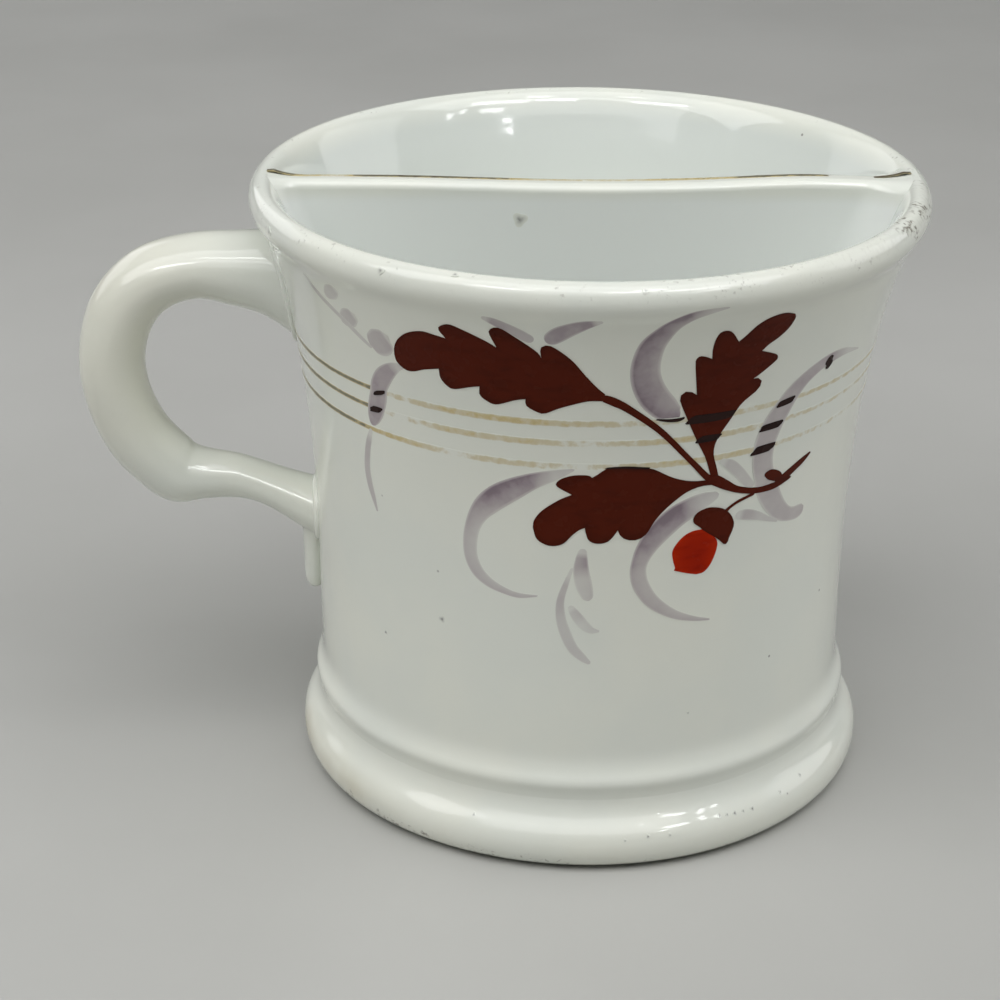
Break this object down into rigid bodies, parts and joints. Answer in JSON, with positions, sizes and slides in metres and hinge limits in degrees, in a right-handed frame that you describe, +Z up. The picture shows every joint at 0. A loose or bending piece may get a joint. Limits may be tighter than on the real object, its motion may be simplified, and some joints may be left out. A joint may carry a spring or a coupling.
{
  "type": "divided shaving mug",
  "caption": "Glazed porcelain shaving mug with a flared round body, moulded foot, loop handle and a partition between a deep brush half and a drained soap shelf.",
  "frame": {"origin": "on the table plane, at the middle of the whole outline (mug and handle)", "axes": "+X from the handle across the mug, +Y from the deep half to the soap half, +Z up"},
  "size_m": [0.1217, 0.096, 0.089],
  "materials": {
    "wall_glaze": "clear gloss glaze over white porcelain",
    "foot_glaze": "clear gloss glaze, a little worn and stained",
    "floor_glaze": "clear gloss glaze",
    "divider_glaze": "clear gloss glaze",
    "shelf_glaze": "clear gloss glaze",
    "handle_glaze": "clear gloss glaze",
    "leaf_enamel": "dark red-brown overglaze enamel",
    "nut_enamel": "orange-red overglaze enamel",
    "wash_enamel": "thin lavender-grey enamel wash",
    "gilding": "worn burnished gilding"
  },
  "bodies": {
    "root": {"body_wall": "wall_glaze", "foot_ring": "foot_glaze", "floor_disc": "floor_glaze", "divider": "divider_glaze", "soap_shelf": "shelf_glaze", "handle": "handle_glaze"}
  },
  "joints": []
}
